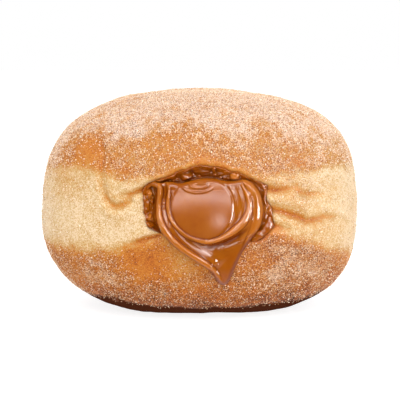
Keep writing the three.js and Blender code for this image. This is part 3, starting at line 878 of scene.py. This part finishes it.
def string_shapes():
    turns = TURN * np.arange(STRING_SIDES)[:, None] / STRING_SIDES
    for i, (half_width, points) in enumerate(STRINGS):
        x, z, proud = smooth_path(points).T
        path = np.stack((x, front_of_dough(x, z) - proud, z), axis=-1)
        ahead = np.gradient(path, axis=0)
        ahead /= np.linalg.norm(ahead, axis=1)[:, None]
        across = np.cross(ahead, (0, 1, 0))
        across /= np.linalg.norm(across, axis=1)[:, None]
        out = np.cross(across, ahead)
        full = mix(STRING_ENDS, 1, np.sin(math.pi * np.linspace(0, 1, len(path))) ** 0.5)
        thick = half_width * full * (1 + layered(path, STRING_UNEVEN, i))
        round_it = across[:, None] * np.cos(turns) + out[:, None] * np.sin(turns)
        yield closed_surface(path[0], path[:, None] + thick[:, None, None] * round_it, path[-1])


def make_lumps():
    shapes, faces, count = [], [], 0
    for shape, parts in (*blob_shapes(), *string_shapes()):
        shapes.append(shape)
        faces += [part + count for part in parts]
        count += len(shape)
    vertices = np.vstack(shapes)
    lumps = make_object("caramel_lumps", vertices, faces, smooth=True)
    set_attribute(lumps, "depth", depth_share(vertices))
    return lumps


# ======== sugar

# Kinds of grain: (name, smallest and largest radius, how many, seed). Then how much shorter or longer a grain
# may be along each axis, and how far its middle stands out as a share of its radius.
GRAIN_KINDS = (
    ("sugar_coarse", 0.15, 0.22, 20000, 201),
    ("sugar_medium", 0.12, 0.15, 24800, 202),
    ("sugar_fine", 0.09, 0.12, 17000, 203),
    ("cinnamon", 0.08, 0.13, 11800, 204),
)
GRAIN_PROPORTIONS = (0.75, 1.3)
GRAIN_STANDS_OUT = 0.2
BASE_GRAIN_TINT = 0.15

# How far from the caramel's sheet, and from what height up, sugar can lie.
SHEET_CLEARANCE = 0.1
LOWEST_SUGAR = 0.3

OCTAHEDRON = np.array(((1, 0, 0), (-1, 0, 0), (0, 1, 0), (0, -1, 0), (0, 0, 1), (0, 0, -1)), float)
OCTAHEDRON_FACES = np.array(
    ((0, 2, 4), (2, 1, 4), (1, 3, 4), (3, 0, 4), (2, 0, 5), (1, 2, 5), (3, 1, 5), (0, 3, 5))
)


def turn_at_random(random, shapes):
    """Shapes, each an array of points, turned by random quaternions of length 1."""
    turn = random.normal(size=(4, len(shapes)))
    turn /= np.linalg.norm(turn, axis=0)
    w, axis = turn[0][:, None, None], turn[1:].T[:, None]
    return shapes + 2 * np.cross(axis, np.cross(axis, shapes) + w * shapes)


def skin_triangles(vertices, quads):
    """The triangles of the dough's outside that sugar can lie on: clear of the slit and of the caramel."""
    outside = quads[(POCKET_RINGS + LIP_RINGS - 2) * DOUGH_SPOKES :]
    triangles = np.concatenate((outside[:, [0, 1, 2]], outside[:, [0, 2, 3]]))
    x, y, z = vertices[triangles].mean(axis=1).T
    away, turn = from_disc(x, z)
    covered = (y < MIDDLE[1]) & (away < outline_reach(SHEET_OUTLINE, turn) + SHEET_CLEARANCE)
    return triangles[~covered & (z >= LOWEST_SUGAR)]


def make_grains(kind, vertices, triangles):
    """Uneven octahedra at random places where sugar lies."""
    name, smallest, largest, count, seed = kind
    random = np.random.default_rng(seed)
    a, b, c = (vertices[triangles[:, i]] for i in range(3))
    crossed = np.cross(b - a, c - a)
    area = np.linalg.norm(crossed, axis=1) / 2
    normals = crossed / (2 * area[:, None] + 1e-12)
    total = np.cumsum(area * sugar_cover((a + b + c) / 3))
    pick = np.searchsorted(total, random.uniform(0, total[-1], count))
    u, v = random.uniform(size=(2, count))
    u, v = np.where(u + v > 1, 1 - u, u), np.where(u + v > 1, 1 - v, v)
    place = a[pick] + u[:, None] * (b - a)[pick] + v[:, None] * (c - a)[pick]
    radius = random.uniform(smallest, largest, count)
    shape = OCTAHEDRON * (radius[:, None] * random.uniform(*GRAIN_PROPORTIONS, (count, 3)))[:, None]
    middle = place + normals[pick] * (GRAIN_STANDS_OUT * radius)[:, None]
    corners = middle[:, None] + turn_at_random(random, shape)
    corners[..., 2] = np.maximum(corners[..., 2], 0)
    faces = (OCTAHEDRON_FACES + 6 * np.arange(count)[:, None, None]).reshape(-1, 3)
    grains = make_object(name, corners.reshape(-1, 3), [faces], smooth=False)
    tinted = BASE_GRAIN_TINT * crust_shares(place)[1]
    set_attribute(grains, "shade", np.repeat(random.uniform(size=count) - tinted, 6))
    return grains


# ======== materials


def colour(red, green, blue):
    """A linear colour from the 0 to 255 values that a screen shows."""
    screen = np.array((red, green, blue)) / 255
    linear = np.where(screen <= 0.04045, screen / 12.92, ((screen + 0.055) / 1.055) ** 2.4)
    return (*linear.tolist(), 1.0)


def add_node(tree, kind, inputs=None, **settings):
    """A new node, with each input set to a value or linked to another node's output."""
    made = tree.nodes.new(kind)
    for name, value in settings.items():
        setattr(made, name, value)
    for name, value in (inputs or {}).items():
        if isinstance(value, bpy.types.NodeSocket):
            tree.links.new(value, made.inputs[name])
        else:
            made.inputs[name].default_value = value
    return made


def new_material(name, inputs):
    """A material whose shader has the given inputs, its node tree, and the shader."""
    material = bpy.data.materials.new(name)
    material.use_nodes = True
    tree = material.node_tree
    shader = tree.nodes["Principled BSDF"]
    for socket, value in inputs.items():
        shader.inputs[socket].default_value = value
    return material, tree, shader


def attribute_of(tree, name):
    return add_node(tree, "ShaderNodeAttribute", attribute_name=name).outputs["Fac"]


def texture_noise(tree, size, detail, roughness):
    """A noise texture with bumps of about `size` millimetres."""
    place = add_node(tree, "ShaderNodeTexCoord").outputs["Object"]
    inputs = {"Vector": place, "Scale": 1 / (size * MM), "Detail": detail, "Roughness": roughness}
    return add_node(tree, "ShaderNodeTexNoise", inputs).outputs["Fac"]


def calculate(tree, operation, a, b=0.0, c=0.0, clamp=False):
    inputs = {0: a, 1: b, 2: c}
    return add_node(tree, "ShaderNodeMath", inputs, operation=operation, use_clamp=clamp).outputs["Value"]


def product(tree, a, b):
    return calculate(tree, "MULTIPLY", a, b)


def scaled(tree, value, factor, offset):
    return calculate(tree, "MULTIPLY_ADD", value, factor, offset)


def map_range(tree, value, low, high, to_low=0.0, to_high=1.0):
    inputs = {"Value": value, "From Min": low, "From Max": high, "To Min": to_low, "To Max": to_high}
    made = add_node(tree, "ShaderNodeMapRange", inputs, interpolation_type="SMOOTHSTEP")
    return made.outputs["Result"]


def ramp(tree, factor, stops):
    """A colour ramp through stops of (position, colour from 0 to 255)."""
    made = add_node(tree, "ShaderNodeValToRGB", {"Fac": factor})
    elements = made.color_ramp.elements
    elements.remove(elements[1])
    elements[0].position = stops[0][0]
    elements[0].color = colour(*stops[0][1])
    for position, shade in stops[1:]:
        elements.new(position).color = colour(*shade)
    return made.outputs["Color"]


def mix_colours(tree, factor, a, b):
    return add_node(tree, "ShaderNodeMix", {0: factor, 6: a, 7: b}, data_type="RGBA").outputs[2]


FRIED_COLOURS = (
    (0.0, (234, 209, 172)),
    (0.12, (217, 183, 134)),
    (0.3, (200, 150, 82)),
    (0.5, (202, 127, 42)),
    (0.7, (186, 101, 28)),
    (0.85, (152, 74, 22)),
    (1.0, (70, 34, 20)),
)
THIN_DUST_COLOUR = colour(230, 174, 106)
DUST_COLOUR = colour(242, 218, 200)
GAP_COLOUR = colour(156, 84, 32)
STAIN_COLOUR = colour(132, 62, 18)
CARAMEL_COLOURS = ((0.3, (148, 72, 2)), (0.7, (162, 86, 6)))
LIT_ROPE_COLOUR = colour(180, 102, 26)
RECESS_SHADE_COLOUR = colour(108, 46, 8)
SEAM_SHADE_COLOUR = colour(106, 34, 4)
LOWER_EDGE_SHADE_COLOUR = colour(128, 66, 40)
SUGAR_COLOURS = ((0.0, (202, 146, 90)), (0.5, (232, 200, 160)), (1.0, (254, 244, 228)))
CINNAMON_COLOURS = ((0.0, (120, 66, 36)), (1.0, (176, 104, 58)))


# Noise textures: (size of their bumps, detail, roughness).
MOTTLE = (1.2, 4, 0.65)
POCKS = (0.34, 1, 0.5)
SPECKS = (0.34, 1.5, 0.6)
GAPS = (0.36, 1, 0.5)
PORES = (0.45, 3, 0.5)
CARAMEL_CLOUDS = (4.5, 3, 0.5)
GRAIN_CLOUDS = (0.2, 1, 0.5)

# A value times the first number, plus the second.
MOTTLE_BROWNS = (0.44, -0.22)
POCKS_UNDER_SUGAR = (1.8, 0.8)
CLOUDS_SHADE = (0.3, -0.15)

# A value moved from the range of the first two numbers to that of the other two, or to 0 to 1.
DUST_THRESHOLD_WITH_SUGAR = (0.0, 0.9, 0.72, 0.36)
SPECK_EDGE = (-0.03, 0.09)
DUST_WHITENS_WITH_SUGAR = (0.3, 1.15)
DUST_WITH_BROWNING_AND_SHADE = (0.5, 0.7, 0.75, 0.45)
GAP_EDGE = (0.52, 0.6)
GAPS_WITH_SUGAR = (0.08, 0.5, 0.0, 0.7)
ROUGHNESS_WITH_SUGAR = (0.0, 0.6, 0.5, 0.72)
SHINE_WITH_BROWNING_AND_SHADE = (0.85, 1.1, 0.15, 0.0)
SHINE_WITH_SEAM_SHADE = (0.0, 0.85, 0.5, 0.1)
ROUGHNESS_WITH_DISC = (0, 1, 0.09, 0.22)

# Painted shade: how far creases are darkened along the fried colours.
CREASE_SHADE_DARKENS = 0.4
STAIN_SMOOTHS = 0.35
CRUST_RELIEF = 0.22
SPECK_HEIGHT = 0.5
PORE_HEIGHT = 0.9
# How much the painted light on the ropes takes off the painted depth shade.
ROPE_BRIGHTENS = 0.5
SEAM_SHADE_STRENGTH = 0.85


def crust_colour(tree, sugared, browned_and_shaded, specks):
    """Fried dough with pocks, painted shade in its creases, dust on it, and gaps in the dust."""
    pocks = calculate(tree, "SUBTRACT", 0.5, texture_noise(tree, *POCKS))
    grain = product(tree, pocks, scaled(tree, sugared, *POCKS_UNDER_SUGAR))
    # Painted shade in the creases moves their colour towards the browner fried colours.
    crease_shaded = scaled(tree, attribute_of(tree, "crease"), CREASE_SHADE_DARKENS, grain)
    level = calculate(tree, "ADD", browned_and_shaded, scaled(tree, texture_noise(tree, *MOTTLE), *MOTTLE_BROWNS))
    fried = ramp(tree, calculate(tree, "ADD", level, crease_shaded), FRIED_COLOURS)
    whiteness = map_range(tree, sugared, *DUST_WHITENS_WITH_SUGAR)
    dust = mix_colours(tree, whiteness, THIN_DUST_COLOUR, DUST_COLOUR)
    dust_share = product(tree, specks, map_range(tree, browned_and_shaded, *DUST_WITH_BROWNING_AND_SHADE))
    dusted = mix_colours(tree, dust_share, fried, dust)
    gaps = map_range(tree, texture_noise(tree, *GAPS), *GAP_EDGE)
    gap_share = product(tree, gaps, map_range(tree, sugared, *GAPS_WITH_SUGAR))
    return mix_colours(tree, gap_share, dusted, GAP_COLOUR)


def crust_material():
    material, tree, shader = new_material("fried_crust", {
        "Subsurface Weight": 0.12,
        "Subsurface Radius": (1.0, 0.5, 0.25),
        "Subsurface Scale": 1.0 * MM,
    })
    # The browning here includes the painted shade under the dough.
    sugared, browned_and_shaded, stained = (attribute_of(tree, name) for name in ("sugar", "browning", "stain"))
    threshold = map_range(tree, sugared, *DUST_THRESHOLD_WITH_SUGAR)
    above = calculate(tree, "SUBTRACT", texture_noise(tree, *SPECKS), threshold)
    specks = map_range(tree, above, *SPECK_EDGE)
    crust = crust_colour(tree, sugared, browned_and_shaded, specks)
    tree.links.new(mix_colours(tree, stained, crust, STAIN_COLOUR), shader.inputs["Base Color"])
    rough = map_range(tree, sugared, *ROUGHNESS_WITH_SUGAR)
    tree.links.new(scaled(tree, stained, -STAIN_SMOOTHS, rough), shader.inputs["Roughness"])
    shine = map_range(tree, browned_and_shaded, *SHINE_WITH_BROWNING_AND_SHADE)
    tree.links.new(shine, shader.inputs["Specular IOR Level"])
    pores = product(tree, texture_noise(tree, *PORES), PORE_HEIGHT)
    height = scaled(tree, specks, SPECK_HEIGHT, pores)
    bump = add_node(tree, "ShaderNodeBump", {"Height": height, "Distance": CRUST_RELIEF * MM})
    tree.links.new(bump.outputs["Normal"], shader.inputs["Normal"])
    return material


def caramel_material():
    material, tree, shader = new_material("caramel", {
        "IOR": 1.37,
        "Subsurface Weight": 0.08,
        "Subsurface Radius": (1.0, 0.35, 0.1),
        "Subsurface Scale": 1.2 * MM,
    })
    painted_light, depth = attribute_of(tree, "rope"), attribute_of(tree, "depth")
    shade = ramp(tree, texture_noise(tree, *CARAMEL_CLOUDS), CARAMEL_COLOURS)
    # Painted light: ropes and spots in the slit get a paler colour and less of the painted depth shade.
    rope = mix_colours(tree, painted_light, shade, LIT_ROPE_COLOUR)
    # Painted shade with a painted reflection of the floor on the sheet's lower edge.
    edge_shaded = mix_colours(tree, attribute_of(tree, "thin_edge"), rope, LOWER_EDGE_SHADE_COLOUR)
    # Painted shade darkens the caramel the deeper it lies in the slit.
    recess_shade = calculate(tree, "MULTIPLY_ADD", painted_light, -ROPE_BRIGHTENS, depth, clamp=True)
    deep = mix_colours(tree, recess_shade, edge_shaded, RECESS_SHADE_COLOUR)
    # Painted shade in the seams darkens the colour and dims the highlights.
    seam = product(tree, attribute_of(tree, "seam"), SEAM_SHADE_STRENGTH)
    tree.links.new(mix_colours(tree, seam, deep, SEAM_SHADE_COLOUR), shader.inputs["Base Color"])
    tree.links.new(map_range(tree, seam, *SHINE_WITH_SEAM_SHADE), shader.inputs["Specular IOR Level"])
    rough = map_range(tree, attribute_of(tree, "disc"), *ROUGHNESS_WITH_DISC)
    tree.links.new(rough, shader.inputs["Roughness"])
    return material


def grain_material(name, stops, roughness):
    material, tree, shader = new_material(name, {"Roughness": roughness, "IOR": 1.5})
    clouds = scaled(tree, texture_noise(tree, *GRAIN_CLOUDS), *CLOUDS_SHADE)
    shade = calculate(tree, "ADD", attribute_of(tree, "shade"), clouds)
    tree.links.new(ramp(tree, shade, stops), shader.inputs["Base Color"])
    return material


# ======== stage, light and camera

CAMERA_ELEVATION = 6.0
CAMERA_DISTANCE = 600.0
CAMERA_AIM = Vector((-0.17, 2.1, 29.5))
CAMERA_LENS = 191.07
SENSOR_WIDTH = 36.0
FLOOR_HALF = 1500.0

# How bright the backdrop is from front to back and further down, given like the ranges of the materials.
BACKDROP_BEHIND = (-0.2, 0.6, 0.12, 0.9)
BACKDROP_BELOW = (-0.65, -0.9, 0.0, 1.2)

# Soft boxes that light everything: (name, azimuth from the front to the right, elevation, distance, width,
# height, radiance).
SOFT_BOXES = (
    ("key_box", 0, 40, 1200, 1500, 700, 2.75),
    ("overhead_box", 0, 75, 1100, 900, 600, 4.4),
    ("left_box", -75, 15, 1000, 400, 500, 1.05),
    ("right_box", 75, 20, 1000, 400, 500, 1.15),
)

# Cards that only show as reflections in what is glossy.
CARDS = (
    ("band_card", 0, 27, 1200, 2700, 300, 6.5),
    ("band_middle_card", 0, 27, 1190, 2600, 140, 8.0),
    ("patch_card", 24, 5.5, 1100, 420, 200, 5.0),
    ("patch_middle_card", 28, 4, 1090, 240, 120, 12.0),
    ("high_card", 0, 60, 1000, 1500, 330, 14.0),
    ("upper_right_card", 58, 34, 1000, 400, 320, 25.0),
    ("low_right_card", 72, 1, 300, 150, 130, 34.0),
    ("upper_left_card", -52, 42, 1000, 340, 260, 7.5),
    ("left_card", -76, 16, 1000, 300, 420, 5.5),
)


def direction(azimuth, elevation):
    azimuth, elevation = math.radians(azimuth), math.radians(elevation)
    across = math.cos(elevation)
    return Vector((across * math.sin(azimuth), -across * math.cos(azimuth), math.sin(elevation)))


def place_facing(thing, place, target):
    thing.location = place * MM
    thing.rotation_euler = (target - place).to_track_quat("-Z", "Y").to_euler()
    bpy.context.scene.collection.objects.link(thing)


def add_light(name, azimuth, elevation, distance, width, height, radiance, card):
    light = bpy.data.lights.new(name, "AREA")
    light.shape = "RECTANGLE"
    light.size = width * MM
    light.size_y = height * MM
    light.energy = math.pi * radiance * light.size * light.size_y
    box = bpy.data.objects.new(name, light)
    box.visible_camera = False
    box.visible_diffuse = not card
    box.visible_glossy = card
    place_facing(box, CAMERA_AIM + direction(azimuth, elevation) * distance, CAMERA_AIM)


def add_backdrop_light():
    """White all round to the eye. To what it lights, bright behind and below and dim in front."""
    world = bpy.data.worlds.new("studio")
    world.use_nodes = True
    tree = world.node_tree
    background = tree.nodes["Background"]
    background.inputs["Color"].default_value = (1, 1, 1, 1)
    toward = add_node(tree, "ShaderNodeTexCoord").outputs["Generated"]
    axes = add_node(tree, "ShaderNodeSeparateXYZ", {0: toward}).outputs
    behind = map_range(tree, axes["Y"], *BACKDROP_BEHIND)
    below = map_range(tree, axes["Z"], *BACKDROP_BELOW)
    lit = calculate(tree, "MAXIMUM", behind, below)
    seen = add_node(tree, "ShaderNodeLightPath").outputs["Is Camera Ray"]
    tree.links.new(calculate(tree, "MAXIMUM", lit, seen), background.inputs["Strength"])
    bpy.context.scene.world = world


def add_floor():
    corners = np.array(((-1, -1, 0), (1, -1, 0), (1, 1, 0), (-1, 1, 0)))
    floor = make_object("floor", FLOOR_HALF * corners, [np.array([[0, 1, 2, 3]])], smooth=False)
    material, _, _ = new_material("pale_floor", {
        "Base Color": colour(160, 160, 160),
        "Roughness": 0.9,
        "Emission Color": (1, 1, 1, 1),
        "Emission Strength": 0.85,
    })
    floor.data.materials.append(material)
    floor.visible_glossy = False


def add_camera():
    camera = bpy.data.cameras.new("camera")
    camera.lens = CAMERA_LENS
    camera.sensor_width = SENSOR_WIDTH
    camera.clip_start = 0.01
    viewer = bpy.data.objects.new("camera", camera)
    place_facing(viewer, CAMERA_AIM + direction(0, CAMERA_ELEVATION) * CAMERA_DISTANCE, CAMERA_AIM)
    bpy.context.scene.camera = viewer


# ======== putting it together


def dress(piece, material, node=None):
    piece.data.materials.append(material)
    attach(piece, "root")
    if node:
        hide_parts(node)


add_camera()
add_backdrop_light()
for soft_box in SOFT_BOXES:
    add_light(*soft_box, card=False)
for reflected_card in CARDS:
    add_light(*reflected_card, card=True)
add_floor()

dough, dough_vertices, dough_quads = make_dough()
dress(dough, crust_material(), "dough")

caramel = caramel_material()
dress(make_filling(), caramel, "filling")
dress(make_lumps(), caramel)

sugar = grain_material("sugar", SUGAR_COLOURS, roughness=0.3)
spice = grain_material("cinnamon", CINNAMON_COLOURS, roughness=0.7)
skin = skin_triangles(dough_vertices, dough_quads)
for grain_kind in GRAIN_KINDS:
    grains = make_grains(grain_kind, dough_vertices, skin)
    dress(grains, spice if grain_kind[0] == "cinnamon" else sugar)

bpy.context.scene.view_settings.view_transform = "Standard"
